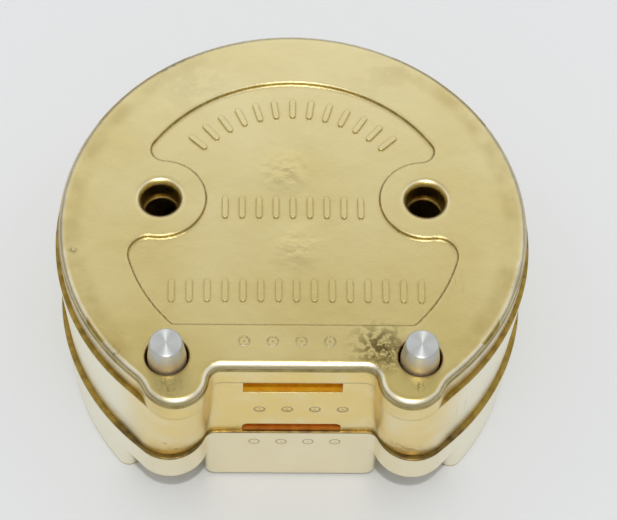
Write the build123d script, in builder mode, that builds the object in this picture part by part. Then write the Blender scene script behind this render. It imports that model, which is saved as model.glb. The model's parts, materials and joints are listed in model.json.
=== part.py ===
"""Ejector-type denture flask: base, ring, lid, two guide pins and a knock-out plate.

Millimetres. +Z is up and the front with the pry slots faces -Y. The origin is on the floor,
at the centre of the big circle that every casting's outline is drawn around.
"""
import os
from math import acos, atan2, cos, hypot, sin, sqrt

from build123d import *

os.makedirs("parts", exist_ok=True)

# heights of the parting faces
LOBE_UNDERSIDE = 13.5
BASE_TOP = 22.0
RING_TOP = 46.0
LID_TOP = 53.0

# outer walls, which draft from foot to top
FOOT_RADIUS = 53.5
RIM_RADIUS = 54.6
RING_FOOT_RADIUS = 53.2
RING_TOP_RADIUS = 54.0
LID_RADIUS = 52.9
FRONT_Y = -38.4
RING_FOOT_FRONT_Y = -37.6
FOOT_CORNER_R = 3.5

# the front lobes that carry the guide pins: (corner radius, centre x, centre y)
LOBE_TOP = (7.3, 25.4, -40.2)
LOBE_RING_FOOT = (9.2, 27.8, -34.7)
LOBE_RIM = (8.8, 27.8, -36.5)
RECESS_CORNER_R = 2.6
PIN_X = 27.3
PIN_Y = -35.5

# hollow inside ring and base
RING_CAVITY_R = 46.0
BASE_CAVITY_R = 45.0
CAVITY_FRONT_Y = -31.0
CAVITY_CORNER_R = 3.0
PIN_BOSS_R = 9.5
FLOOR = 6.0

# knock-out plate and its stepped seat in the base floor
PLATE_R = 25.6
PLATE_SEAT_R = 26.0
PLATE_STEP_R = 21.6
PLATE_HOLE_R = 22.0
PLATE_STEP = 3.0
PLATE_UNDERSIDE = 0.6

# guide pins
PIN_R = 4.25
PIN_TIP_R = 3.6
PIN_TIP_Z = 58.6
PIN_TAPER_Z = 52.5
PIN_TIP_EDGE_R = 0.5
PIN_HOLE_R = 4.7

# lid
LID_EDGE_R = 2.0
LID_HOLE = (30.1, 5.3)
LID_HOLE_R = 4.2
LID_HOLE_LIP = 1.7
LID_HOLE_STEP_R = 3.8
LID_HOLE_STEP = 1.3
PIN_HOLE_LIP = 0.7
PANEL_R = 38.2
PANEL_FRONT_Y = -27.6
PANEL_BOSS_R = 10.4
PANEL_DEPTH = 0.8
PANEL_REAR_CORNER_R = 3.2
PANEL_SIDE_CORNER_R = 4.6
PANEL_EDGE_R = 0.35
SHOULDER_EXTRA = 0.1
SHOULDER_BLEND_R = 8.0

# pry slots in the ring: (width, height, depth)
UPPER_SLOT = (21.8, 4.6, 4.4)
LOWER_SLOT = (22.4, 3.3, 3.6)
SLOT_CORNER_R = 1.4
SLOT_LIP = 0.9

# feet of the base
FRONT_PLATE_X = 20.3
FRONT_PLATE_CORNER_R = 3.0
NOTCH_OUTER_X = 35.3
NOTCH_BACK_Y = -31.2
PLATE_EDGE_R = 1.4
NOTCH_EDGE_R = 3.0
EDGE_BREAK = 0.4


def outline(radius, lobe, front_y):
    """Face of a casting: circle, straight flanks to two round lobes, and the recess between."""
    lobe_r, lobe_x, lobe_y = lobe
    inner_x = lobe_x - sqrt(lobe_r**2 - (front_y - lobe_y) ** 2)
    flank = atan2(lobe_y, lobe_x) + acos((radius - lobe_r) / hypot(lobe_x, lobe_y))
    flank_end = (lobe_x + lobe_r * cos(flank), lobe_y + lobe_r * sin(flank))
    flank_start = (radius * cos(flank), radius * sin(flank))
    halfway = (radius * cos(flank / 2), radius * sin(flank / 2))
    with BuildSketch() as face:
        with BuildLine():
            Line((0, front_y), (inner_x, front_y))
            ThreePointArc((inner_x, front_y), (lobe_x, lobe_y - lobe_r), flank_end)
            Line(flank_end, flank_start)
            ThreePointArc(flank_start, halfway, (radius, 0))
            ThreePointArc((radius, 0), (radius * 0.6, radius * 0.8), (0, radius))
            mirror(about=Plane.YZ)
        make_face()
        corners = [v for v in face.vertices() if abs(abs(v.X) - inner_x) < 0.01]
        fillet(corners, RECESS_CORNER_R)
    return face.sketch


def foot_outline(radius):
    """Face of the base under its lobes: a circle with a flat front."""
    with BuildSketch() as face:
        Circle(radius)
        with Locations((0, FRONT_Y)):
            Rectangle(2 * radius, radius, align=(Align.CENTER, Align.MAX), mode=Mode.SUBTRACT)
        corners = [v for v in face.vertices() if v.Y < -30]
        fillet(corners, FOOT_CORNER_R)
    return face.sketch


def cavity(radius):
    """Face of the hollow, kept clear of the bosses around the guide pins."""
    with BuildSketch() as face:
        Circle(radius)
        with Locations((0, CAVITY_FRONT_Y)):
            Rectangle(2 * radius, radius, align=(Align.CENTER, Align.MAX), mode=Mode.SUBTRACT)
        with Locations((-PIN_X, PIN_Y), (PIN_X, PIN_Y)):
            Circle(PIN_BOSS_R, mode=Mode.SUBTRACT)
        corners = [v for v in face.vertices() if v.Y < -10]
        fillet(corners, CAVITY_CORNER_R)
    return face.sketch


ring_top_face = outline(RING_TOP_RADIUS, LOBE_TOP, FRONT_Y)
pin_places = [(-PIN_X, PIN_Y), (PIN_X, PIN_Y)]
lid_hole_places = [(-LID_HOLE[0], LID_HOLE[1]), LID_HOLE]

# lid: set back from the ring's rim all round, flush with it at the lobes and the recess
with BuildPart() as lid:
    with BuildSketch(Plane.XY.offset(RING_TOP)) as lid_face:
        Circle(LID_RADIUS)
        with Locations((-LOBE_TOP[1], LOBE_TOP[2]), LOBE_TOP[1:]):
            Circle(LOBE_TOP[0] + SHOULDER_EXTRA)
        steps = [v for v in lid_face.vertices() if abs(v.X) > 29 and v.Y < -35]
        fillet(steps, SHOULDER_BLEND_R)
        add(ring_top_face, mode=Mode.INTERSECT)
    extrude(amount=LID_TOP - RING_TOP)
    fillet(lid.faces().sort_by(Axis.Z)[-1].edges(), LID_EDGE_R)
    with BuildSketch(Plane.XY.offset(LID_TOP)) as panel:
        Circle(PANEL_R)
        with Locations((0, PANEL_FRONT_Y)):
            Rectangle(2 * PANEL_R, PANEL_R, align=(Align.CENTER, Align.MAX), mode=Mode.SUBTRACT)
        with Locations(*lid_hole_places):
            Circle(PANEL_BOSS_R, mode=Mode.SUBTRACT)
        fillet([v for v in panel.vertices() if v.Y > LID_HOLE[1]], PANEL_REAR_CORNER_R)
        fillet([v for v in panel.vertices() if -20 < v.Y < 0], PANEL_SIDE_CORNER_R)
    extrude(amount=-PANEL_DEPTH, mode=Mode.SUBTRACT)
    panel_floor = lid.faces().filter_by_position(Axis.Z, LID_TOP - PANEL_DEPTH, LID_TOP - PANEL_DEPTH)
    fillet(panel_floor.edges(), PANEL_EDGE_R)
    land = lid.faces().sort_by(Axis.Z)[-1]
    fillet(land.inner_wires().edges(), PANEL_EDGE_R)
    with BuildSketch(Plane.XY.offset(LID_TOP)):
        with Locations(*lid_hole_places):
            Circle(LID_HOLE_R)
    extrude(amount=RING_TOP + LID_HOLE_STEP - LID_TOP, mode=Mode.SUBTRACT)
    with BuildSketch(Plane.XY.offset(LID_TOP)):
        with Locations(*lid_hole_places):
            Circle(LID_HOLE_STEP_R)
        with Locations(*pin_places):
            Circle(PIN_HOLE_R)
    extrude(amount=RING_TOP - LID_TOP, mode=Mode.SUBTRACT)
    mouths = lid.edges().filter_by(GeomType.CIRCLE).filter_by_position(Axis.Z, LID_TOP, LID_TOP)
    fillet(mouths.filter_by(lambda e: abs(e.radius - LID_HOLE_R) < 0.01), LID_HOLE_LIP)
    mouths = lid.edges().filter_by(GeomType.CIRCLE).filter_by_position(Axis.Z, LID_TOP, LID_TOP)
    fillet(mouths.filter_by(lambda e: abs(e.radius - PIN_HOLE_R) < 0.01), PIN_HOLE_LIP)

# ring: drafted wall round an open hollow, with a pry slot at its top and bottom edges
with BuildPart() as ring:
    with BuildSketch(Plane.XY.offset(BASE_TOP)):
        add(outline(RING_FOOT_RADIUS, LOBE_RING_FOOT, RING_FOOT_FRONT_Y))
    with BuildSketch(Plane.XY.offset(RING_TOP)):
        add(ring_top_face)
    loft(ruled=True)
    fillet(ring.faces().sort_by(Axis.Z)[-1].edges(), EDGE_BREAK)
    with BuildSketch(Plane.XY.offset(BASE_TOP)):
        add(cavity(RING_CAVITY_R))
        with Locations(*pin_places):
            Circle(PIN_HOLE_R)
    extrude(amount=RING_TOP - BASE_TOP, mode=Mode.SUBTRACT)
    front_slot = Plane(origin=(0, FRONT_Y - 1, RING_TOP), x_dir=(1, 0, 0), z_dir=(0, 1, 0))
    with BuildSketch(front_slot):
        Rectangle(UPPER_SLOT[0], 2 * UPPER_SLOT[1])
    extrude(amount=UPPER_SLOT[2] + 1, mode=Mode.SUBTRACT)
    slot_floor = RING_TOP - UPPER_SLOT[1]
    lip = [e for e in ring.edges().filter_by(Axis.X) if abs(e.center().Z - slot_floor) < 0.01]
    chamfer(ShapeList(lip).sort_by(Axis.Y)[0], SLOT_LIP)
    front_slot = Plane(origin=(0, FRONT_Y - 1, BASE_TOP), x_dir=(1, 0, 0), z_dir=(0, 1, 0))
    with BuildSketch(front_slot):
        RectangleRounded(LOWER_SLOT[0], 2 * LOWER_SLOT[1], SLOT_CORNER_R)
    extrude(amount=LOWER_SLOT[2] + 1, mode=Mode.SUBTRACT)

# base: drafted wall and front plate on the floor, lobes above open notches
with BuildPart() as base:
    side_radius = FOOT_RADIUS + (RIM_RADIUS - FOOT_RADIUS) * LOBE_UNDERSIDE / BASE_TOP
    with BuildSketch():
        add(foot_outline(FOOT_RADIUS))
    with BuildSketch(Plane.XY.offset(LOBE_UNDERSIDE)):
        add(foot_outline(side_radius))
    loft(ruled=True)
    with BuildSketch(Plane.XZ.offset(-NOTCH_BACK_Y)):
        with BuildLine():
            plate_bottom_x = FRONT_PLATE_X - FRONT_PLATE_CORNER_R
            Line((plate_bottom_x, 0), (NOTCH_OUTER_X, 0))
            Line((NOTCH_OUTER_X, 0), (NOTCH_OUTER_X, LOBE_UNDERSIDE))
            Line((NOTCH_OUTER_X, LOBE_UNDERSIDE), (FRONT_PLATE_X, LOBE_UNDERSIDE))
            Line((FRONT_PLATE_X, LOBE_UNDERSIDE), (FRONT_PLATE_X, FRONT_PLATE_CORNER_R))
            RadiusArc((FRONT_PLATE_X, FRONT_PLATE_CORNER_R), (plate_bottom_x, 0), FRONT_PLATE_CORNER_R)
        make_face()
        mirror(about=Plane.YZ)
    extrude(amount=20, mode=Mode.SUBTRACT)
    uprights = [e for e in base.edges() if e.length > LOBE_UNDERSIDE / 2 and e.center().Y < FRONT_Y + 1]
    posts = [e for e in uprights if abs(abs(e.center().X) - FRONT_PLATE_X) < 0.1]
    fillet(posts, PLATE_EDGE_R)
    uprights = [e for e in base.edges() if e.length > LOBE_UNDERSIDE / 2 and e.center().Y < FRONT_Y + 1]
    wall_ends = [e for e in uprights if abs(abs(e.center().X) - NOTCH_OUTER_X) < 0.1]
    fillet(wall_ends, NOTCH_EDGE_R)
    with BuildSketch(Plane.XY.offset(LOBE_UNDERSIDE)):
        add(outline(side_radius, LOBE_RIM, FRONT_Y))
    with BuildSketch(Plane.XY.offset(BASE_TOP)):
        add(outline(RIM_RADIUS, LOBE_RIM, FRONT_Y))
    loft(ruled=True)
    fillet(base.faces().sort_by(Axis.Z)[-1].edges(), EDGE_BREAK)
    with BuildSketch(Plane.XY.offset(FLOOR)):
        add(cavity(BASE_CAVITY_R))
    extrude(amount=BASE_TOP - FLOOR, mode=Mode.SUBTRACT)
    with BuildSketch(Plane.XY.offset(LOBE_UNDERSIDE)):
        with Locations(*pin_places):
            Circle(PIN_R)
    extrude(amount=BASE_TOP - LOBE_UNDERSIDE, mode=Mode.SUBTRACT)
    with BuildSketch():
        Circle(PLATE_HOLE_R)
    extrude(amount=FLOOR, mode=Mode.SUBTRACT)
    with BuildSketch(Plane.XY.offset(PLATE_STEP)):
        Circle(PLATE_SEAT_R)
    extrude(amount=FLOOR - PLATE_STEP, mode=Mode.SUBTRACT)

# knock-out plate: stepped disc, flush with the floor of the hollow
with BuildPart() as knock_out_plate:
    with BuildSketch(Plane.XY.offset(PLATE_UNDERSIDE)):
        Circle(PLATE_STEP_R)
    extrude(amount=PLATE_STEP - PLATE_UNDERSIDE)
    with BuildSketch(Plane.XY.offset(PLATE_STEP)):
        Circle(PLATE_R)
    extrude(amount=FLOOR - PLATE_STEP)

# guide pins: pressed into the base lobes, tapered at the free end
pin_bodies = {}
for side, x in (("left", -PIN_X), ("right", PIN_X)):
    with BuildPart() as guide_pin:
        with BuildSketch(Plane(origin=(x, PIN_Y, 0), x_dir=(1, 0, 0), z_dir=(0, -1, 0))) as profile:
            with BuildLine():
                Polyline(
                    (0, LOBE_UNDERSIDE),
                    (PIN_R, LOBE_UNDERSIDE),
                    (PIN_R, PIN_TAPER_Z),
                    (PIN_TIP_R, PIN_TIP_Z),
                    (0, PIN_TIP_Z),
                    close=True,
                )
            make_face()
            tip = [v for v in profile.vertices() if v.Z > PIN_TIP_Z - 0.01 and abs(v.X - x) > 1]
            fillet(tip, PIN_TIP_EDGE_R)
        revolve(axis=Axis((x, PIN_Y, 0), (0, 0, 1)))
    pin_bodies[side] = guide_pin

pieces = {
    "base": base,
    "ring": ring,
    "lid": lid,
    "knock_out_plate": knock_out_plate,
    "guide_pin_left": pin_bodies["left"],
    "guide_pin_right": pin_bodies["right"],
}
for name, piece in pieces.items():
    piece.part.label = name
    export_step(piece.part, f"parts/{name}.step")
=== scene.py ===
"""Dental flask: brass castings on two steel guide pins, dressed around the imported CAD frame.

Metres, +Z up, the front with the pry slots faces -Y. Base, ring, lid and knock-out plate keep
their CAD shapes and get their finishes here. The guide pins, the raised ribs on the lid and the
punched rings are meshes of this script.
"""

import json
import logging
import math
from dataclasses import dataclass
from enum import Enum

import bmesh
import bpy
from mathutils import Matrix, Vector

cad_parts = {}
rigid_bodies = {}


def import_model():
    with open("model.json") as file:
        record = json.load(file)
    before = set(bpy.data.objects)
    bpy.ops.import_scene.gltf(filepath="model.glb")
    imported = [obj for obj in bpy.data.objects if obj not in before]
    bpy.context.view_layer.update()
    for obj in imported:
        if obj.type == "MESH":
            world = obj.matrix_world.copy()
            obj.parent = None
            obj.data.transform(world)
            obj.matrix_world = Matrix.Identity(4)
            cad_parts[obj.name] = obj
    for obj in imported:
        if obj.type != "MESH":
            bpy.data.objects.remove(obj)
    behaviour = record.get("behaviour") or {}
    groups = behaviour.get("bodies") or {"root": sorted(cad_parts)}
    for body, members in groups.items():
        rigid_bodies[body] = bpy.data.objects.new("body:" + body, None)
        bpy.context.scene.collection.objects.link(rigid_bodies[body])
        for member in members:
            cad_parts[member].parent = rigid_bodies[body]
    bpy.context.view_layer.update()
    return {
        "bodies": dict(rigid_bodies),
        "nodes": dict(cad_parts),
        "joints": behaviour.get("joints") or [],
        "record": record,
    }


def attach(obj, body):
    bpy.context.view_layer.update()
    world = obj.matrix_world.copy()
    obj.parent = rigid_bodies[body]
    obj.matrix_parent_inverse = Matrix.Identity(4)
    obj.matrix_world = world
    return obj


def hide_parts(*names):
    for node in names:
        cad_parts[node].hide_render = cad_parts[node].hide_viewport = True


LOG = logging.getLogger("dental_flask")
MM = 0.001

Colour = tuple[float, float, float, float]
Point = tuple[float, float, float]
Span = tuple[float, float]
Socket = bpy.types.NodeSocket

# Zone and mark colours, each with the darker one that it is blotched with. Some are stains; SHADE is
# painted shade and the pry-slot colours are painted reflection.
LEDGE: Colour = (0.44, 0.30, 0.07, 1.0)
LEDGE_DARK: Colour = (0.27, 0.175, 0.035, 1.0)
SEAM: Colour = (0.22, 0.15, 0.04, 1.0)
SEAM_DARK: Colour = (0.10, 0.065, 0.02, 1.0)
SHADE: Colour = (0.42, 0.33, 0.13, 1.0)
SHADE_DARK: Colour = (0.28, 0.21, 0.07, 1.0)
STEP: Colour = (0.58, 0.43, 0.13, 1.0)
STEP_DARK: Colour = (0.44, 0.32, 0.08, 1.0)
BORE: Colour = (0.50, 0.36, 0.11, 1.0)
BORE_DARK: Colour = (0.30, 0.19, 0.05, 1.0)
# Painted reflection: the saturated orange of light bounced inside the upper pry slot.
SLOT_REFLECTION: Colour = (1.0, 0.63, 0.03, 1.0)
SLOT_REFLECTION_DARK: Colour = (0.95, 0.46, 0.02, 1.0)
# Painted reflection: the darker orange of light bounced inside the lower pry slot.
LOW_SLOT_REFLECTION: Colour = (0.86, 0.40, 0.05, 1.0)
LOW_SLOT_REFLECTION_DARK: Colour = (0.66, 0.27, 0.035, 1.0)
AMBER: Colour = (0.34, 0.19, 0.04, 1.0)
# Darker tone of the punched rings.
DARK_MARK: Colour = (0.50, 0.40, 0.19, 1.0)

# Millimetres that more than one piece or finish refers to.
LID_TOP = 53.0
LID_PANEL = 52.2
FLASK_REACH = 60.0


def at(x: float, y: float, z: float) -> Point:
    """Gives a point from millimetres."""
    return (x * MM, y * MM, z * MM)


class Body(Enum):
    """The moving bodies of the flask, by their names in the frame, which their CAD nodes share."""

    BASE = "base"
    RING = "ring"
    LID = "lid"
    PLATE = "knock_out_plate"


class Slot(Enum):
    """The record's material slot names, which nothing here uses."""

    BRASS = "brass_casting"
    STEEL = "pin_steel"


@dataclass(frozen=True)
class Patches:
    """A broken-up pattern: how fine, how detailed, and the noise levels where it starts and fills."""

    scale: float
    detail: float
    low: float
    high: float


class NodeKit:
    """Short ways to add and join shader nodes in one material or world."""

    def __init__(self, tree: bpy.types.NodeTree) -> None:
        """Keeps the tree and empties it.

        Args:
            tree: The node tree to build in.
        """
        self.tree = tree
        tree.nodes.clear()

    def add(self, kind: str, inputs: dict | None = None, **settings: object) -> bpy.types.Node:
        """Adds a node.

        Args:
            kind: The node's type name without its ShaderNode prefix.
            inputs: Socket name or index to a value or to another node's output.
            settings: Attributes of the node.

        Returns:
            The new node.
        """
        node = self.tree.nodes.new("ShaderNode" + kind)
        for name, value in settings.items():
            setattr(node, name, value)
        for name, value in (inputs or {}).items():
            if isinstance(value, Socket):
                self.tree.links.new(value, node.inputs[name])
            else:
                node.inputs[name].default_value = value
        return node

    def math(self, operation: str, *values: object, clamp: bool = False) -> Socket:
        """Adds a Math node and returns its output."""
        node = self.add("Math", dict(enumerate(values)), operation=operation, use_clamp=clamp)
        return node.outputs[0]

    def times(self, *values: object) -> Socket:
        """Multiplies two values and returns the product."""
        return self.math("MULTIPLY", *values)

    def mix(self, factor: object, low: object, high: object) -> Socket:
        """Adds a colour Mix node and returns its output."""
        node = self.add("Mix", {0: factor, 6: low, 7: high}, data_type="RGBA")
        return node.outputs[2]

    def blend(self, factor: object, low: object, high: object) -> Socket:
        """Adds a number Mix node and returns its output."""
        return self.add("Mix", {0: factor, 2: low, 3: high}).outputs[0]

    def ramp(self, value: object, low: float, high: float) -> Socket:
        """Maps low..high smoothly to 0..1, where low may be the larger one.

        Args:
            value: What to map.
            low: The value that gives 0.
            high: The value that gives 1.

        Returns:
            The mapped value.
        """
        node = self.add(
            "MapRange",
            {"Value": value, "From Min": low, "From Max": high},
            interpolation_type="SMOOTHSTEP",
        )
        return node.outputs["Result"]

    def noise(self, vector: object, scale: float, detail: float) -> Socket:
        """Adds a Noise Texture and returns its factor."""
        node = self.add("TexNoise", {"Vector": vector, "Scale": scale, "Detail": detail})
        return node.outputs["Fac"]

    def patches(self, vector: object, pattern: Patches) -> Socket:
        """Returns 1 inside a pattern's patches and 0 between them."""
        return self.ramp(self.noise(vector, pattern.scale, pattern.detail), pattern.low, pattern.high)

    def near(self, vector: object, centre: Point, radius: float) -> Socket:
        """Returns 1 at a point, falling smoothly to 0 at radius from it."""
        gap = self.add("VectorMath", {0: vector, 1: centre}, operation="DISTANCE")
        return self.ramp(gap.outputs["Value"], radius, 0.0)

    def inside(self, vector: object, low: Point, high: Point, soft: Point) -> Socket:
        """Marks a box of space.

        Args:
            vector: The place to test.
            low: The box's lowest corner.
            high: Its highest corner.
            soft: Half the width of the soft edge along each axis.

        Returns:
            1 inside the box and 0 outside it.
        """
        apart = self.add("SeparateXYZ", {0: vector})
        total = None
        for axis in range(3):
            up = self.ramp(apart.outputs[axis], low[axis] - soft[axis], low[axis] + soft[axis])
            down = self.ramp(apart.outputs[axis], high[axis] + soft[axis], high[axis] - soft[axis])
            both = self.times(up, down)
            total = both if total is None else self.times(total, both)
        return total

    def bump(self, height: object, depth: float, normal: Socket | None = None) -> Socket:
        """Raises a height into a normal.

        Args:
            height: The height, 0 to 1.
            depth: The distance that a height of 1 stands for.
            normal: The normal to start from, or None for the mesh's own.

        Returns:
            The new normal.
        """
        inputs = {"Height": height, "Distance": depth, "Strength": 1.0}
        if normal is not None:
            inputs["Normal"] = normal
        return self.add("Bump", inputs).outputs[0]


def new_material(name: str) -> tuple[bpy.types.Material, NodeKit]:
    """Makes an empty node material.

    Args:
        name: Its name.
    """
    material = bpy.data.materials.new(name)
    material.use_nodes = True
    return material, NodeKit(material.node_tree)


@dataclass(frozen=True)
class Blemish:
    """A tarnish patch, dark spot or group of scratches: where, how wide, how strong, how broken up."""

    centre: Point
    radius: float
    strength: float
    grain: float
    cover: float
    stretch: Point = (1.0, 1.0, 1.0)


@dataclass(frozen=True)
class Zone:
    """A box of space whose surface, or only its steep faces, has a colour and a shine of its own."""

    low: Point
    high: Point
    colour: Colour
    shade: Colour
    metal: float = 1.0
    soft: Point = at(0.12, 0.12, 0.08)
    steep: bool = False


def layer(low: float, high: float, colour: Colour, shade: Colour) -> Zone:
    """Makes a zone right across the flask between two heights in millimetres."""
    return Zone(at(-FLASK_REACH, -FLASK_REACH, low), at(FLASK_REACH, FLASK_REACH, high), colour, shade)


@dataclass(frozen=True)
class BrassFinish:
    """Cast and polished brass: warm on level faces and at the front. The paler round walls and the paler
    rear of level faces are painted reflection.

    A span of facing is the upward part of a face's normal, 1 on a level face and 0 on an upright one.
    """

    name: str
    face: Colour = (0.70, 0.56, 0.21, 1.0)
    # Painted sheen: level faces turn paler towards the rear.
    face_rear: Colour = (0.87, 0.76, 0.42, 1.0)
    face_span: Span = (15 * MM, 115 * MM)
    face_drift: float = 130 * MM
    # Painted reflection: round walls pale, as if mirroring the white floor.
    wall: Colour = (0.91, 0.87, 0.69, 1.0)
    wall_rear: Colour = (0.80, 0.69, 0.38, 1.0)
    wall_rear_span: Span = (-26 * MM, 8 * MM)
    front: Colour = (0.86, 0.68, 0.27, 1.0)
    front_span: Span = (-28 * MM, -38 * MM)
    front_side_span: Span = (41 * MM, 30 * MM)
    front_patches: Patches = Patches(110.0, 3.0, 0.2, 0.6)
    front_broken: float = 0.4
    upright_facing: Span = (0.75, 0.20)
    steep_facing: Span = (0.97, 0.80)
    # Painted highlight: the pale colour laid on rounded edges and on the shoulder.
    edge: Colour = (0.97, 0.93, 0.80, 1.0)
    edge_highlight: float = 0.35
    edge_round: float = 0.55 * MM
    edge_samples: int = 6
    shoulder: float = 0.0
    shoulder_top: Span = (0.985, 0.90)
    shoulder_foot: Span = (0.60, 0.84)
    # Painted shade: the colour mixed in where ambient occlusion finds corners and creases, and along the
    # rim band.
    painted_shade: Colour = (0.45, 0.33, 0.10, 1.0)
    shade_reach: float = 1.3 * MM
    shade_span: Span = (0.92, 0.45)
    shade_samples: int = 8
    # Painted shade: an olive band along the rim, from this radius outward.
    rim_line: float = 0.0
    rim_width: float = 3.5 * MM
    rim_side_span: Span = (12 * MM, 44 * MM)
    rim_patches: Patches = Patches(130.0, 5.0, 0.30, 0.72)
    rim_strength: float = 0.46
    zones: tuple[Zone, ...] = ()
    zone_patches: Patches = Patches(420.0, 4.0, 0.35, 0.70)
    tarnish: Colour = (0.10, 0.065, 0.012, 1.0)
    blemishes: tuple[Blemish, ...] = ()
    blemish_detail: float = 6.0
    blemish_fade: float = 0.12
    cloud_scale: float = 38.0
    cloud_detail: float = 4.0
    roughness: float = 0.27
    cloud_roughness: float = 0.12
    wall_roughness: float = 0.26
    grain_roughness: float = 0.10
    grain_scale: float = 2600.0
    grain_detail: float = 2.0
    grain_depth: float = 0.02 * MM
    ripple_scale: float = 240.0
    ripple_detail: float = 3.0
    ripple_depth: float = 0.08 * MM
    wrinkles: tuple[Point, ...] = ()
    wrinkle_reach: float = 8.0 * MM
    wrinkle_scale: float = 330.0
    wrinkle_detail: float = 2.0
    wrinkle_depth: float = 0.4 * MM

    def upright_colour(self, kit: NodeKit, place: Socket) -> Socket:
        """Blends the round walls' pale colour, a painted reflection of the white floor, into the front's,
        and into a warmer one at the rear.

        Args:
            kit: The material's node kit.
            place: Object coordinates.

        Returns:
            The colour of an upright face.
        """
        apart = kit.add("SeparateXYZ", {0: place})
        forward = kit.ramp(apart.outputs["Y"], *self.front_span)
        inward = kit.ramp(kit.math("ABSOLUTE", apart.outputs["X"]), *self.front_side_span)
        rearward = kit.ramp(apart.outputs["Y"], *self.wall_rear_span)
        broken = kit.patches(place, self.front_patches)
        amount = kit.math("MULTIPLY_ADD", broken, self.front_broken, 1.0 - self.front_broken)
        wall = kit.mix(rearward, self.wall, self.wall_rear)
        return kit.mix(kit.times(kit.times(forward, inward), amount), wall, self.front)

    def level_colour(self, kit: NodeKit, place: Socket, cloud: Socket) -> Socket:
        """Blends a level face from its front colour into its paler rear colour, a painted sheen, unevenly.

        Args:
            kit: The material's node kit.
            place: Object coordinates.
            cloud: A slow noise that breaks up the blend.

        Returns:
            The colour of a level face.
        """
        depth = kit.add("SeparateXYZ", {0: place}).outputs["Y"]
        drift = kit.math("MULTIPLY_ADD", cloud, self.face_drift, depth)
        low, high = self.face_span
        amount = kit.add("MapRange", {"Value": drift, "From Min": low, "From Max": high})
        return kit.mix(amount.outputs["Result"], self.face, self.face_rear)

    def painted_edge_highlights(self, kit: NodeKit, colour: Socket, level: Socket, upright: Socket) -> Socket:
        """Paints highlights: brightens the turns between level and upright faces, and a rounded shoulder.

        Args:
            kit: The material's node kit.
            colour: The colour so far.
            level: How level the face is.
            upright: How upright it is.

        Returns:
            The colour with its painted edge highlights.
        """
        turning = kit.times(upright, kit.math("SUBTRACT", 1.0, upright))
        highest_turning = 0.25
        colour = kit.mix(kit.times(turning, self.edge_highlight / highest_turning), colour, self.edge)
        if self.shoulder:
            gleam = kit.times(kit.ramp(level, *self.shoulder_top), kit.ramp(level, *self.shoulder_foot))
            colour = kit.mix(kit.times(gleam, self.shoulder), colour, self.edge)
        return colour

    def rim_shade_band(self, kit: NodeKit, place: Socket) -> Socket:
        """Gives the strength of the painted shade along the rim: an uneven olive band, left and right of
        the middle, that stands for the rounded shoulder's reflection of the dark horizon.

        Args:
            kit: The material's node kit.
            place: Object coordinates.

        Returns:
            The band's strength, 0 to rim_strength.
        """
        apart = kit.add("SeparateXYZ", {0: place})
        flat = kit.add("CombineXYZ", {"X": apart.outputs["X"], "Y": apart.outputs["Y"]})
        radius = kit.add("VectorMath", {0: flat.outputs[0]}, operation="LENGTH").outputs["Value"]
        rise = kit.ramp(radius, self.rim_line, self.rim_line + self.rim_width)
        side = kit.ramp(kit.math("ABSOLUTE", apart.outputs["X"]), *self.rim_side_span)
        broken = kit.patches(place, self.rim_patches)
        return kit.times(kit.times(rise, side), kit.times(broken, self.rim_strength))

    def with_painted_shade(self, kit: NodeKit, colour: Socket, place: Socket) -> Socket:
        """Paints shade: darkens corners and creases by their ambient occlusion, and the rim where the
        finish has a rim line.

        Args:
            kit: The material's node kit.
            colour: The colour so far.
            place: Object coordinates.

        Returns:
            The colour with its painted shade.
        """
        distance = {"Distance": self.shade_reach}
        open_sky = kit.add("AmbientOcclusion", distance, samples=self.shade_samples).outputs["AO"]
        colour = kit.mix(kit.ramp(open_sky, *self.shade_span), colour, self.painted_shade)
        if self.rim_line:
            colour = kit.mix(self.rim_shade_band(kit, place), colour, self.painted_shade)
        return colour

    def zoned(self, kit: NodeKit, colour: Socket, place: Socket, level: Socket) -> tuple[Socket, object]:
        """Lays each zone's colour and shine over the rest.

        Args:
            kit: The material's node kit.
            colour: The colour so far.
            place: Object coordinates.
            level: How level the face is.

        Returns:
            The colour, and how metallic the surface is.
        """
        metal = 1.0
        blotch = kit.patches(place, self.zone_patches)
        for zone in self.zones:
            amount = kit.inside(place, zone.low, zone.high, zone.soft)
            if zone.steep:
                amount = kit.times(amount, kit.ramp(level, *self.steep_facing))
            colour = kit.mix(amount, colour, kit.mix(blotch, zone.colour, zone.shade))
            metal = kit.blend(amount, metal, zone.metal)
        return colour, metal

    def blemished(self, kit: NodeKit, colour: Socket, place: Socket) -> Socket:
        """Lays the tarnish, spots and scratches over the rest.

        Args:
            kit: The material's node kit.
            colour: The colour so far.
            place: Object coordinates.

        Returns:
            The colour with its blemishes.
        """
        for spot in self.blemishes:
            drawn = kit.add("VectorMath", {0: place, 1: spot.stretch}, operation="MULTIPLY").outputs[0]
            start = 1.0 - spot.cover
            speck = kit.ramp(
                kit.noise(drawn, spot.grain, self.blemish_detail), start, start + self.blemish_fade
            )
            amount = kit.times(kit.near(place, spot.centre, spot.radius), speck)
            colour = kit.mix(kit.math("MULTIPLY", amount, spot.strength, clamp=True), colour, self.tarnish)
        return colour

    def relief(self, kit: NodeKit, place: Socket, grain: Socket) -> Socket:
        """Rounds the edges and adds the casting's ripple, its wrinkles and its fine grain.

        Args:
            kit: The material's node kit.
            place: Object coordinates.
            grain: The fine noise.

        Returns:
            The normal to shade with.
        """
        normal = kit.add("Bevel", {"Radius": self.edge_round}, samples=self.edge_samples).outputs[0]
        ripple = kit.noise(place, self.ripple_scale, self.ripple_detail)
        normal = kit.bump(ripple, self.ripple_depth, normal)
        for centre in self.wrinkles:
            folds = kit.noise(place, self.wrinkle_scale, self.wrinkle_detail)
            folds = kit.times(folds, kit.near(place, centre, self.wrinkle_reach))
            normal = kit.bump(folds, self.wrinkle_depth, normal)
        return kit.bump(grain, self.grain_depth, normal)

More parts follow.
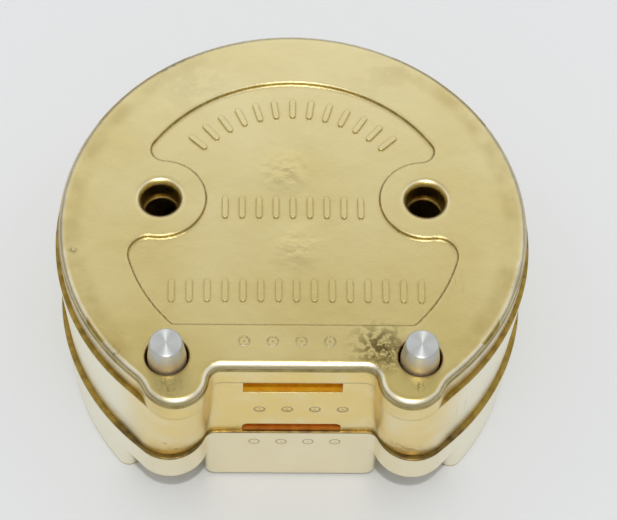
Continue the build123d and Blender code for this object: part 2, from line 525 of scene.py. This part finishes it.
    def material(self) -> bpy.types.Material:
        """Builds the brass.

        Returns:
            The finished material.
        """
        material, kit = new_material(self.name)
        coords = kit.add("TexCoord")
        place, normal = coords.outputs["Object"], coords.outputs["Normal"]
        level = kit.math("ABSOLUTE", kit.add("SeparateXYZ", {0: normal}).outputs["Z"])
        upright = kit.ramp(level, *self.upright_facing)
        cloud = kit.noise(place, self.cloud_scale, self.cloud_detail)
        grain = kit.noise(place, self.grain_scale, self.grain_detail)
        face = self.level_colour(kit, place, cloud)
        colour = kit.mix(upright, face, self.upright_colour(kit, place))
        colour = self.painted_edge_highlights(kit, colour, level, upright)
        colour = self.with_painted_shade(kit, colour, place)
        colour, metal = self.zoned(kit, colour, place, level)
        colour = self.blemished(kit, colour, place)
        rough_face = kit.math("ADD", self.roughness, kit.times(cloud, self.cloud_roughness))
        rough_wall = kit.math("ADD", self.wall_roughness, kit.times(grain, self.grain_roughness))
        shader = kit.add(
            "BsdfPrincipled",
            {
                "Base Color": colour,
                "Metallic": metal,
                "Roughness": kit.blend(upright, rough_face, rough_wall),
                "Normal": self.relief(kit, place, grain),
            },
        )
        kit.add("OutputMaterial", {"Surface": shader.outputs[0]})
        return material


@dataclass(frozen=True)
class TurnedSteelFinish:
    """Bright steel bar, turned on its end face and ground along its side."""

    name: str = "turned_steel"
    colour: Colour = (0.76, 0.77, 0.75, 1.0)
    dark: Colour = (0.58, 0.59, 0.57, 1.0)
    roughness: float = 0.40
    anisotropy: float = 0.8
    anisotropy_turn: float = 0.25
    # Painted reflection: the lid's brass colour on the pin's side just above the lid.
    warm: Colour = (1.0, 0.80, 0.46, 1.0)
    warm_foot: float = 49.5 * MM
    warm_line: float = 55.0 * MM
    warm_fade: float = 1.6 * MM
    warm_strength: float = 0.7
    line_scale: float = 9000.0
    line_detail: float = 2.0
    line_depth: float = 0.006 * MM
    uv_map: str = "turned"

    def lid_reflection_band(self, kit: NodeKit) -> Socket:
        """Marks the warm band round the pin where it comes out of the lid, a painted reflection of the
        brass lid.

        Args:
            kit: The material's node kit.

        Returns:
            The band's strength, 0 to warm_strength.
        """
        height = kit.add("SeparateXYZ", {0: kit.add("TexCoord").outputs["Object"]}).outputs["Z"]
        above = kit.ramp(height, self.warm_line + self.warm_fade, self.warm_line - self.warm_fade)
        below = kit.ramp(height, self.warm_foot - self.warm_fade, self.warm_foot + self.warm_fade)
        return kit.times(kit.times(above, below), self.warm_strength)

    def material(self) -> bpy.types.Material:
        """Builds the steel, with its tool marks along the mesh's own UV map.

        Returns:
            The finished material.
        """
        material, kit = new_material(self.name)
        turned = kit.add("UVMap", uv_map=self.uv_map).outputs[0]
        apart = kit.add("SeparateXYZ", {0: turned})
        along = kit.add("CombineXYZ", {"Y": apart.outputs["Y"]}).outputs[0]
        lines = kit.noise(along, self.line_scale, self.line_detail)
        tangent = kit.add("Tangent", direction_type="UV_MAP", uv_map=self.uv_map)
        shader = kit.add(
            "BsdfPrincipled",
            {
                "Base Color": kit.mix(self.lid_reflection_band(kit), kit.mix(lines, self.dark, self.colour), self.warm),
                "Metallic": 1.0,
                "Roughness": self.roughness,
                "Anisotropic": self.anisotropy,
                "Anisotropic Rotation": self.anisotropy_turn,
                "Normal": kit.bump(lines, self.line_depth),
                "Tangent": tangent.outputs[0],
            },
        )
        kit.add("OutputMaterial", {"Surface": shader.outputs[0]})
        return material


@dataclass(frozen=True)
class FloorFinish:
    """Plain white laminate with a little gloss."""

    name: str = "white_floor"
    colour: Colour = (0.82, 0.83, 0.835, 1.0)
    roughness: float = 0.45
    gloss: float = 0.35

    def material(self) -> bpy.types.Material:
        """Builds the floor's material.

        Returns:
            The finished material.
        """
        material, kit = new_material(self.name)
        shader = kit.add(
            "BsdfPrincipled",
            {"Base Color": self.colour, "Roughness": self.roughness, "Specular IOR Level": self.gloss},
        )
        kit.add("OutputMaterial", {"Surface": shader.outputs[0]})
        return material


def link_mesh(name: str, mesh: bpy.types.Mesh) -> bpy.types.Object:
    """Puts a mesh in the scene as an object at the origin.

    Args:
        name: The object's name.
        mesh: Its mesh.

    Returns:
        The new object.
    """
    thing = bpy.data.objects.new(name, mesh)
    bpy.context.scene.collection.objects.link(thing)
    return thing


def dress_node(frame: dict, body: Body, material: bpy.types.Material) -> None:
    """Gives a body's own CAD node its finish in every material slot.

    Args:
        frame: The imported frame.
        body: The body, whose name its CAD node shares.
        material: The finish.
    """
    for slot in frame["nodes"][body.value].material_slots:
        slot.material = material
    LOG.info("%s dressed", body.value)


class TreeKit:
    """Short ways to build a Geometry Nodes tree with named inputs."""

    def __init__(self, name: str, inputs: dict[str, str]) -> None:
        """Makes the tree.

        Args:
            name: The tree's name.
            inputs: Input name to socket kind, such as Float, Int or Material.
        """
        self.tree = bpy.data.node_groups.new(name, "GeometryNodeTree")
        self.keys: dict[str, str] = {}
        for label, kind in inputs.items():
            item = self.tree.interface.new_socket(label, in_out="INPUT", socket_type="NodeSocket" + kind)
            self.keys[label] = item.identifier
        self.tree.interface.new_socket("Geometry", in_out="OUTPUT", socket_type="NodeSocketGeometry")
        self.sizes = self.tree.nodes.new("NodeGroupInput")

    def add(self, kind: str, inputs: dict | None = None, **settings: object) -> bpy.types.Node:
        """Adds a node.

        Args:
            kind: The node's type name.
            inputs: Socket name or index to a value, a socket or the name of one of the tree's inputs.
            settings: Attributes of the node.

        Returns:
            The new node.
        """
        node = self.tree.nodes.new(kind)
        for name, value in settings.items():
            setattr(node, name, value)
        for name, value in (inputs or {}).items():
            if isinstance(value, str):
                value = self.sizes.outputs[value]
            if isinstance(value, Socket):
                self.tree.links.new(value, node.inputs[name])
            else:
                node.inputs[name].default_value = value
        return node

    def join(self, *parts: Socket) -> Socket:
        """Joins geometry.

        Args:
            parts: The geometry to join.

        Returns:
            The joined geometry.
        """
        node = self.add("GeometryNodeJoinGeometry")
        for part in parts:
            self.tree.links.new(part, node.inputs[0])
        return node.outputs[0]

    def close(self, geometry: Socket) -> None:
        """Ends the tree in Realize Instances and Set Material.

        Args:
            geometry: What the tree has built.
        """
        real = self.add("GeometryNodeRealizeInstances", {"Geometry": geometry})
        painted = self.add("GeometryNodeSetMaterial", {"Geometry": real.outputs[0], "Material": "Finish"})
        end = self.tree.nodes.new("NodeGroupOutput")
        self.tree.links.new(painted.outputs[0], end.inputs[0])

    def make(self, name: str, sizes: dict[str, object]) -> bpy.types.Object:
        """Runs the tree with these sizes and keeps the result as a plain mesh.

        Args:
            name: The new object's name.
            sizes: Input name to value.

        Returns:
            The new object, without the modifier.
        """
        carrier = link_mesh(name + "_carrier", bpy.data.meshes.new(name + "_carrier"))
        modifier = carrier.modifiers.new("build", "NODES")
        modifier.node_group = self.tree
        for label, value in sizes.items():
            modifier[self.keys[label]] = value
        graph = bpy.context.evaluated_depsgraph_get()
        mesh = bpy.data.meshes.new_from_object(carrier.evaluated_get(graph))
        bpy.data.objects.remove(carrier)
        return link_mesh(name, mesh)


@dataclass(frozen=True)
class RibShape:
    """The form of one raised rib: a round-ended bar with drafted sides, closed underneath."""

    arc_steps: int = 64
    corner_steps: int = 6
    corner_share: float = 0.49
    top_width: float = 0.74
    top_length: float = 0.93
    weld: float = 0.001 * MM

    def drawn_in(self, kit: TreeKit, mesh: Socket, top: Socket, share: float, axis: Point) -> Socket:
        """Draws a rib's top in along one axis.

        Args:
            kit: The tree's kit.
            mesh: The rib.
            top: The selection of its top face.
            share: The top's size over the foot's.
            axis: The direction to draw it in along.

        Returns:
            The rib with the smaller top.
        """
        return kit.add(
            "GeometryNodeScaleElements",
            {"Geometry": mesh, "Selection": top, "Scale": share, "Axis": axis},
            scale_mode="SINGLE_AXIS",
        ).outputs[0]

    def bar(self, kit: TreeKit) -> Socket:
        """Builds one rib in the plane that the points of a curve turn flat.

        Args:
            kit: The tree's kit.

        Returns:
            The rib.
        """
        outline = kit.add("GeometryNodeCurvePrimitiveQuadrilateral", {"Width": "Length", "Height": "Width"})
        corner = kit.add("ShaderNodeMath", {0: "Width", 1: self.corner_share}, operation="MULTIPLY")
        rounded = kit.add(
            "GeometryNodeFilletCurve",
            {"Curve": outline.outputs[0], "Count": self.corner_steps, "Radius": corner.outputs[0]},
            mode="POLY",
        )
        plate = kit.add("GeometryNodeFillCurve", {"Curve": rounded.outputs[0]}, mode="NGONS").outputs[0]
        raised = kit.add(
            "GeometryNodeExtrudeMesh", {"Mesh": plate, "Offset Scale": "Relief", "Individual": False}
        )
        top = raised.outputs["Top"]
        drafted = self.drawn_in(kit, raised.outputs["Mesh"], top, self.top_width, (0.0, 1.0, 0.0))
        drafted = self.drawn_in(kit, drafted, top, self.top_length, (1.0, 0.0, 0.0))
        foot = kit.add("GeometryNodeFlipFaces", {"Mesh": plate}).outputs[0]
        both = kit.join(drafted, foot)
        closed = kit.add("GeometryNodeMergeByDistance", {"Geometry": both, "Distance": self.weld})
        upright = (math.radians(90.0), 0.0, 0.0)
        turned = kit.add("GeometryNodeTransform", {"Geometry": closed.outputs[0], "Rotation": upright})
        return turned.outputs[0]

    def tree(self) -> TreeKit:
        """Builds the tree for ribs along an arc.

        The ribs lie side by side on a circle's arc, square to it. A large radius gives a row.

        Returns:
            The tree, with its inputs named.
        """
        kit = TreeKit(
            "ribs_on_arc",
            {
                "Count": "Int",
                "Radius": "Float",
                "Start": "Float",
                "Sweep": "Float",
                "Width": "Float",
                "Length": "Float",
                "Relief": "Float",
                "Finish": "Material",
            },
        )
        arc = kit.add(
            "GeometryNodeCurveArc",
            {
                "Resolution": self.arc_steps,
                "Radius": "Radius",
                "Start Angle": "Start",
                "Sweep Angle": "Sweep",
            },
        )
        points = kit.add(
            "GeometryNodeCurveToPoints", {"Curve": arc.outputs[0], "Count": "Count"}, mode="COUNT"
        )
        ribs = kit.add(
            "GeometryNodeInstanceOnPoints",
            {
                "Points": points.outputs["Points"],
                "Instance": self.bar(kit),
                "Rotation": points.outputs["Rotation"],
            },
        )
        kit.close(ribs.outputs[0])
        return kit


@dataclass(frozen=True)
class PunchedRow:
    """A row of plain punched rings, each with a pip in its middle."""

    name: str
    body: Body
    centre: Point
    upright: bool = True
    count: int = 4
    step: float = 6.2 * MM
    radius: float = 1.15 * MM
    edge: float = 0.24 * MM
    upright_sink: float = 0.72
    level_sink: float = 0.50
    ring_steps: int = 40
    edge_steps: int = 10
    pip_steps: int = 3

    def tree(self) -> TreeKit:
        """Builds the tree for the row.

        Returns:
            The tree, with its inputs named.
        """
        kit = TreeKit(
            "punched_rings",
            {"Count": "Int", "Step": "Float", "Radius": "Float", "Edge": "Float", "Finish": "Material"},
        )
        circle = "GeometryNodeCurvePrimitiveCircle"
        ring = kit.add(circle, {"Resolution": self.ring_steps, "Radius": "Radius"}).outputs[0]
        edge = kit.add(circle, {"Resolution": self.edge_steps, "Radius": "Edge"}).outputs[0]
        rim = kit.add("GeometryNodeCurveToMesh", {"Curve": ring, "Profile Curve": edge}).outputs[0]
        pip = kit.add("GeometryNodeMeshIcoSphere", {"Radius": "Edge", "Subdivisions": self.pip_steps})
        mark = kit.join(rim, pip.outputs[0])
        step = kit.add("ShaderNodeCombineXYZ", {0: "Step"}).outputs[0]
        row = kit.add("GeometryNodeMeshLine", {"Count": "Count", "Offset": step}, mode="OFFSET").outputs[0]
        marks = kit.add("GeometryNodeInstanceOnPoints", {"Points": row, "Instance": mark})
        kit.close(marks.outputs[0])
        return kit

    def build(self, finish: bpy.types.Material) -> None:
        """Sets the row into its face, which looks to the front or, where it isn't upright, up.

        Args:
            finish: The material.
        """
        sizes = {
            "Count": self.count,
            "Step": self.step,
            "Radius": self.radius,
            "Edge": self.edge,
            "Finish": finish,
        }
        rings = self.tree().make(self.name, sizes)
        turn = Matrix.Rotation(math.radians(90.0), 4, "X") if self.upright else Matrix.Identity(4)
        sink = Vector((0.0, 0.0, -self.level_sink * self.edge))
        if self.upright:
            sink = Vector((0.0, self.upright_sink * self.edge, 0.0))
        half_row = (self.count - 1) / 2 * self.step
        start = Vector(self.centre) - Vector((half_row, 0.0, 0.0)) + sink
        rings.data.transform(Matrix.Translation(start) @ turn)
        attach(rings, self.body.value)
        LOG.info("%s rides on %s", self.name, self.body.value)


def dark_mark_brass() -> bpy.types.Material:
    """Builds the darker brass of the punched rings on the front faces."""
    colours = dict.fromkeys(("face", "face_rear", "wall", "wall_rear", "front"), DARK_MARK)
    return BrassFinish("dark_mark_brass", **colours).material()


@dataclass(frozen=True)
class RibRow:
    """A row of plain raised ribs on an arc: its count, arc in metres and degrees, centre and rib length."""

    name: str
    count: int
    radius: float
    start: float
    sweep: float
    centre: tuple[float, float]
    length: float


@dataclass
class Lid:
    """The lid: CAD plate with plain raised ribs on its panel and punched rings on its front land."""

    edge_round: float = 1.0 * MM
    # Strength of the painted highlight along the lid's rounded shoulder.
    shoulder: float = 0.7
    # Radius where the painted olive shade along the lid's rim begins.
    rim_line: float = 46.0 * MM
    rib_width: float = 1.5 * MM
    rib_relief: float = 0.5 * MM
    rib_sink: float = 0.05 * MM
    rib_edge: float = 0.22 * MM
    # Painted shade in the corners round the ribs.
    rib_painted_shade: Colour = (0.58, 0.45, 0.16, 1.0)
    rib_shade_reach: float = 0.7 * MM
    row_radius: float = 2.0
    wrinkles: tuple[Point, ...] = (at(-2.0, 13.5, LID_PANEL), at(1.0, -7.0, LID_PANEL))
    ring_row: PunchedRow = PunchedRow("lid_dots", Body.LID, at(-1.4, -31.9, LID_TOP), upright=False)

    def rows(self) -> list[RibRow]:
        """Lists the rows of ribs: one on an arc at the rear and two straight ones."""
        far = self.row_radius
        return [
            RibRow("rear_ribs", 13, 29.5 * MM, 42.0, 96.0, (0.0, 1.5 * MM), 5.6 * MM),
            RibRow("middle_ribs", 9, far, 89.56, 0.88, (0.0, 3.3 * MM - far), 6.2 * MM),
            RibRow("front_ribs", 15, far, 89.21, 1.58, (0.7 * MM, -18.6 * MM - far), 6.2 * MM),
        ]

    def zones(self) -> tuple[Zone, ...]:
        """Lists the dark line below the shoulder, the panel's step and the two stepped holes."""
        return (
            layer(50.9, 51.95, SHADE, SHADE_DARK),
            Zone(at(-45.0, -32.0, 52.0), at(45.0, 46.0, 53.1), STEP, STEP_DARK, steep=True),
            Zone(at(25.5, 0.7, 46.0), at(34.7, 9.9, 51.6), BORE, BORE_DARK),
            Zone(at(-34.7, 0.7, 46.0), at(-25.5, 9.9, 51.6), BORE, BORE_DARK),
        )

    def blemishes(self) -> tuple[Blemish, ...]:
        """Lists the tarnish beside the right lobe, faint clouds at the rear, specks and a scratch."""
        return (
            Blemish(at(18.5, -33.0, LID_TOP), 9.0 * MM, 0.80, 620.0, 0.56),
            Blemish(at(20.0, -34.5, LID_TOP), 7.0 * MM, 0.65, 1700.0, 0.58),
            Blemish(at(-24.0, 38.0, LID_TOP), 13.0 * MM, 0.10, 260.0, 0.60),
            Blemish(at(22.0, 40.0, LID_TOP), 11.0 * MM, 0.09, 260.0, 0.60),
            Blemish(at(-26.5, -42.0, LID_TOP), 6.5 * MM, 0.30, 500.0, 0.80),
            Blemish(at(-26.5, -43.0, LID_TOP), 3.6 * MM, 0.70, 1400.0, 0.48),
            Blemish(at(27.0, -42.6, LID_TOP), 2.2 * MM, 0.60, 1600.0, 0.50),
            Blemish(at(-39.1, -34.6, LID_TOP), 2.4 * MM, 0.60, 1500.0, 0.52),
            Blemish(at(-49.0, -8.9, LID_TOP), 1.5 * MM, 0.60, 1500.0, 0.60),
            Blemish(at(36.8, -17.1, LID_TOP), 3.4 * MM, 0.45, 1300.0, 0.45, (1.0, 0.10, 1.0)),
        )

    def ribs(self, finish: bpy.types.Material) -> None:
        """Raises the rows of ribs on the panel.

        Args:
            finish: The ribs' material.
        """
        kit = RibShape().tree()
        for row in self.rows():
            sizes = {
                "Count": row.count,
                "Radius": row.radius,
                "Start": math.radians(row.start),
                "Sweep": math.radians(row.sweep),
                "Width": self.rib_width,
                "Length": row.length,
                "Relief": self.rib_relief + self.rib_sink,
                "Finish": finish,
            }
            ribs = kit.make(row.name, sizes)
            ribs.data.transform(Matrix.Translation((*row.centre, LID_PANEL * MM - self.rib_sink)))
            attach(ribs, Body.LID.value)
            LOG.info("%s: %d ribs on the lid", row.name, row.count)

    def build(self, frame: dict) -> None:
        """Dresses the lid's node and puts the ribs and rings on it.

        Args:
            frame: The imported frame.
        """
        brass = BrassFinish(
            "lid_brass",
            shoulder=self.shoulder,
            edge_round=self.edge_round,
            rim_line=self.rim_line,
            wrinkles=self.wrinkles,
            zones=self.zones(),
            blemishes=self.blemishes(),
        ).material()
        dress_node(frame, Body.LID, brass)
        rib_brass = BrassFinish(
            "rib_brass",
            edge_round=self.rib_edge,
            painted_shade=self.rib_painted_shade,
            shade_reach=self.rib_shade_reach,
        )
        self.ribs(rib_brass.material())
        self.ring_row.build(brass)


@dataclass
class Ring:
    """The middle casting, with tarnished parting faces and pry slots filled with painted orange reflection.
    """

    edge_round: float = 0.2 * MM
    ring_row: PunchedRow = PunchedRow("ring_dots", Body.RING, at(2.0, -38.02, 32.9))

    def zones(self) -> tuple[Zone, ...]:
        """Lists the upper parting ledge, the upper pry slot and the lower one."""
        return (
            layer(45.85, 46.3, LEDGE, LEDGE_DARK),
            # The pry slots get painted reflection of light bounced inside them.
            Zone(at(-10.95, -38.0, 41.2), at(10.95, -33.8, 46.2), SLOT_REFLECTION, SLOT_REFLECTION_DARK, metal=0.4),
            Zone(at(-11.2, -37.4, 21.8), at(11.2, -33.8, 25.5), LOW_SLOT_REFLECTION, LOW_SLOT_REFLECTION_DARK, metal=0.1),
        )

    def blemishes(self) -> tuple[Blemish, ...]:
        """Lists the stains on the right lobe, the right side's scratches and the left lobe's specks."""
        return (
            Blemish(at(26.5, -44.2, 26.5), 3.4 * MM, 0.60, 700.0, 0.58),
            Blemish(at(23.4, -44.0, 26.9), 3.0 * MM, 0.50, 700.0, 0.58),
            Blemish(at(41.0, -35.0, 42.0), 3.4 * MM, 0.45, 1300.0, 0.45, (1.0, 1.0, 0.10)),
            Blemish(at(38.2, -37.8, 34.5), 5.0 * MM, 0.35, 1300.0, 0.44, (1.0, 1.0, 0.10)),
            Blemish(at(-28.4, -44.5, 29.4), 1.1 * MM, 0.80, 1200.0, 0.65),
            Blemish(at(-26.0, -44.5, 25.4), 0.9 * MM, 0.70, 1200.0, 0.65),
        )

    def build(self, frame: dict) -> None:
        """Dresses the ring's node and punches its row of rings.

        Args:
            frame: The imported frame.
        """
        brass = BrassFinish(
            "ring_brass",
            tarnish=AMBER,
            edge_round=self.edge_round,
            zones=self.zones(),
            blemishes=self.blemishes(),
        )
        dress_node(frame, Body.RING, brass.material())
        self.ring_row.build(dark_mark_brass())


@dataclass
class Base:
    """The lower casting and its knock-out plate."""

    front: Colour = (0.87, 0.79, 0.56, 1.0)
    seam_line: float = -36.6
    seam_soft: Point = at(0.1, 2.5, 0.08)
    ring_row: PunchedRow = PunchedRow("base_dots", Body.BASE, at(0.8, -38.4, 17.7))

    def zones(self) -> tuple[Zone, ...]:
        """Lists the lower parting ledge, its darker front and the part seen through the pry slot."""
        low, high = 21.85, 22.3
        seam_low, seam_high = at(-FLASK_REACH, -FLASK_REACH, low), at(FLASK_REACH, self.seam_line, high)
        return (
            layer(low, high, LEDGE, LEDGE_DARK),
            Zone(seam_low, seam_high, SEAM, SEAM_DARK, metal=0.7, soft=self.seam_soft),
            # Painted reflection: bounced light on the base, seen through the lower pry slot.
            Zone(at(-11.2, -37.5, 21.8), at(11.2, -33.0, high), LOW_SLOT_REFLECTION, LOW_SLOT_REFLECTION_DARK, metal=0.6),
        )

    def build(self, frame: dict) -> None:
        """Dresses the base and the plate, and punches the base's row of rings.

        Args:
            frame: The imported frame.
        """
        brass = BrassFinish("base_brass", front=self.front, zones=self.zones())
        dress_node(frame, Body.BASE, brass.material())
        dress_node(frame, Body.PLATE, BrassFinish("plate_brass").material())
        self.ring_row.build(dark_mark_brass())


@dataclass
class GuidePins:
    """The two steel pins: turned end, slight taper, ground side."""

    x: float = 27.3 * MM
    y: float = -35.5 * MM
    low: float = 13.5 * MM
    taper: float = 52.5 * MM
    high: float = 58.6 * MM
    radius: float = 4.25 * MM
    tip_radius: float = 3.6 * MM
    edge: float = 0.5 * MM
    edge_steps: int = 6
    tip_shares: tuple[float, ...] = (0.7, 0.4, 0.15)
    steps: int = 96
    finish: TurnedSteelFinish = TurnedSteelFinish()

    def profile(self) -> list[Span]:
        """Lists the pin's outline as radius and height, from the foot's centre to the tip's.

        Returns:
            The outline's points.
        """
        points = [(0.0, self.low), (self.radius, self.low), (self.radius, self.taper)]
        for step in range(self.edge_steps + 1):
            turn = math.radians(90 * step / self.edge_steps)
            radius = self.tip_radius - self.edge + self.edge * math.cos(turn)
            points.append((radius, self.high - self.edge + self.edge * math.sin(turn)))
        points += [(self.tip_radius * share, self.high) for share in self.tip_shares]
        points.append((0.0, self.high))
        return points

    def hoop(self, shape: bmesh.types.BMesh, x: float, radius: float, height: float) -> list:
        """Adds the vertices that one point of the outline makes.

        Args:
            shape: The mesh under way.
            x: The axis's place.
            radius: The point's distance from the axis.
            height: Its height.

        Returns:
            A ring of vertices, or a single one on the axis.
        """
        if radius == 0:
            return [shape.verts.new((x, self.y, height))]
        turns = [2 * math.pi * i / self.steps for i in range(self.steps)]
        return [
            shape.verts.new((x + radius * math.cos(turn), self.y + radius * math.sin(turn), height))
            for turn in turns
        ]

    def band(self, shape: bmesh.types.BMesh, lower: list, upper: list, run: Span) -> None:
        """Adds the faces between two hoops, mapped round the pin and along its outline.

        Args:
            shape: The mesh under way.
            lower: The hoop nearer the foot.
            upper: The hoop nearer the tip.
            run: How far along the outline each hoop lies.
        """
        mapping = shape.loops.layers.uv[self.finish.uv_map]
        low, high = run
        for i in range(self.steps):
            j = i + 1
            corners = [(lower, i, low), (lower, j, low), (upper, j, high), (upper, i, high)]
            if len(lower) == 1:
                corners = corners[1:]
            elif len(upper) == 1:
                corners = corners[:3]
            face = shape.faces.new([hoop[turn % len(hoop)] for hoop, turn, _ in corners])
            face.smooth = True
            for loop, (_, turn, height) in zip(face.loops, corners):
                loop[mapping].uv = (turn / self.steps, height)

    def pin(self, name: str, x: float) -> bpy.types.Object:
        """Spins the outline round the pin's axis.

        Args:
            name: The piece's name.
            x: The axis's place.

        Returns:
            The pin.
        """
        outline = self.profile()
        mesh = bpy.data.meshes.new(name)
        shape = bmesh.new()
        shape.loops.layers.uv.new(self.finish.uv_map)
        hoops = [self.hoop(shape, x, radius, height) for radius, height in outline]
        run = 0.0
        for start, end, lower, upper in zip(outline, outline[1:], hoops, hoops[1:]):
            length = math.dist(start, end)
            self.band(shape, lower, upper, (run, run + length))
            run += length
        bmesh.ops.recalc_face_normals(shape, faces=shape.faces)
        shape.to_mesh(mesh)
        shape.free()
        return link_mesh(name, mesh)

    def build(self, frame: dict) -> None:
        """Makes both pins in place of their CAD nodes.

        Args:
            frame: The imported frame, which the pins need nothing from.
        """
        steel = self.finish.material()
        for side, x in (("left", -self.x), ("right", self.x)):
            piece = self.pin(f"turned_pin_{side}", x)
            piece.data.materials.append(steel)
            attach(piece, Body.BASE.value)
            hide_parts(f"guide_pin_{side}")
            LOG.info("%s rides on %s", piece.name, Body.BASE.value)


@dataclass
class Studio:
    """White floor, soft light from above and the camera at the photograph's angle.

    The room's spans are parts of a direction that points at it: upwards for heights, and to the rear
    for depths.
    """

    distance: float = 416.24 * MM
    elevation: float = 58.0
    azimuth: float = -1.89
    roll: float = 1.99
    aim: Point = at(0.0, -11.45, LID_TOP)
    focal_pixels: float = 1874.8
    centre_pixel: tuple[float, float] = (293.32, 261.11)
    frame_pixels: tuple[int, int] = (617, 520)
    sensor_width: float = 36.0
    clip_start: float = 10 * MM
    floor_half: float = 3.0
    horizon: Colour = (0.12, 0.12, 0.12, 1.0)
    rear_sky: Colour = (0.98, 0.99, 1.0, 1.0)
    zenith: Colour = (0.42, 0.42, 0.43, 1.0)
    ceiling: Colour = (1.80, 1.80, 1.82, 1.0)
    sky_heights: Span = (0.12, 0.60)
    zenith_heights: Span = (0.76, 0.96)
    ceiling_heights: Span = (0.82, 0.90)
    ceiling_depths: Span = (-0.06, -0.22)
    rear_depths: Span = (-0.35, 0.15)
    front_dim: float = 0.68
    lamp_place: Point = (0.0, -0.43, 1.24)
    lamp_size: float = 50 * MM
    lamp_watts: float = 4.9

    def camera(self) -> None:
        """Places the camera, whose place, turn and lens were fitted to the photograph."""
        el, az, roll = map(math.radians, (self.elevation, self.azimuth, self.roll))
        back = Vector((math.sin(az) * math.cos(el), -math.cos(az) * math.cos(el), math.sin(el)))
        right = Vector((math.cos(az), math.sin(az), 0.0))
        up = back.cross(right)
        x_axis = right * math.cos(roll) + up * math.sin(roll)
        y_axis = up * math.cos(roll) - right * math.sin(roll)
        data = bpy.data.cameras.new("camera")
        width, height = self.frame_pixels
        data.sensor_width = self.sensor_width
        data.lens = self.focal_pixels * self.sensor_width / width
        data.shift_x = (width / 2 - self.centre_pixel[0]) / width
        data.shift_y = (self.centre_pixel[1] - height / 2) / width
        data.clip_start = self.clip_start
        camera = bpy.data.objects.new("camera", data)
        turn = Matrix((x_axis, y_axis, back)).transposed().to_4x4()
        camera.matrix_world = Matrix.Translation(Vector(self.aim) + back * self.distance) @ turn
        bpy.context.scene.collection.objects.link(camera)
        bpy.context.scene.camera = camera

    def floor(self) -> None:
        """Lays the floor."""
        shape = bmesh.new()
        bmesh.ops.create_grid(shape, x_segments=1, y_segments=1, size=self.floor_half)
        mesh = bpy.data.meshes.new("floor")
        shape.to_mesh(mesh)
        shape.free()
        floor = link_mesh("floor", mesh)
        floor.data.materials.append(FloorFinish().material())

    def lamp(self) -> None:
        """Hangs a small square lamp above the front, facing the flask."""
        data = bpy.data.lights.new("front_lamp", "AREA")
        data.energy = self.lamp_watts
        data.size = self.lamp_size
        lamp = bpy.data.objects.new("front_lamp", data)
        lamp.location = self.lamp_place
        lamp.rotation_mode = "QUATERNION"
        lamp.rotation_quaternion = Vector(self.lamp_place).to_track_quat("Z", "Y")
        bpy.context.scene.collection.objects.link(lamp)

    def surroundings(self) -> None:
        """Sets the room: bright low behind, dimmer overhead, a bright ceiling in front, dark horizon."""
        world = bpy.data.worlds.new("room")
        bpy.context.scene.world = world
        world.use_nodes = True
        kit = NodeKit(world.node_tree)
        apart = kit.add("SeparateXYZ", {0: kit.add("TexCoord").outputs["Generated"]})
        height, depth = apart.outputs["Z"], apart.outputs["Y"]
        colour = kit.mix(kit.ramp(height, *self.sky_heights), self.horizon, self.rear_sky)
        colour = kit.mix(kit.ramp(height, *self.zenith_heights), colour, self.zenith)
        overhead = kit.times(kit.ramp(height, *self.ceiling_heights), kit.ramp(depth, *self.ceiling_depths))
        colour = kit.mix(overhead, colour, self.ceiling)
        behind = kit.ramp(depth, *self.rear_depths)
        strength = kit.math("MULTIPLY_ADD", behind, 1.0 - self.front_dim, self.front_dim)
        sky = kit.add("Background", {"Color": colour, "Strength": strength})
        kit.add("OutputWorld", {"Surface": sky.outputs[0]})

    def build(self) -> None:
        """Makes the whole studio."""
        self.camera()
        self.floor()
        self.surroundings()
        self.lamp()
        bpy.context.scene.view_settings.view_transform = "Standard"


def main() -> None:
    """Builds the studio and dresses every sub-assembly in order."""
    logging.basicConfig(level=logging.INFO, format="%(message)s")
    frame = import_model()
    Studio().build()
    for part in (Base(), Ring(), Lid(), GuidePins()):
        part.build(frame)


if __name__ == "__main__":
    main()
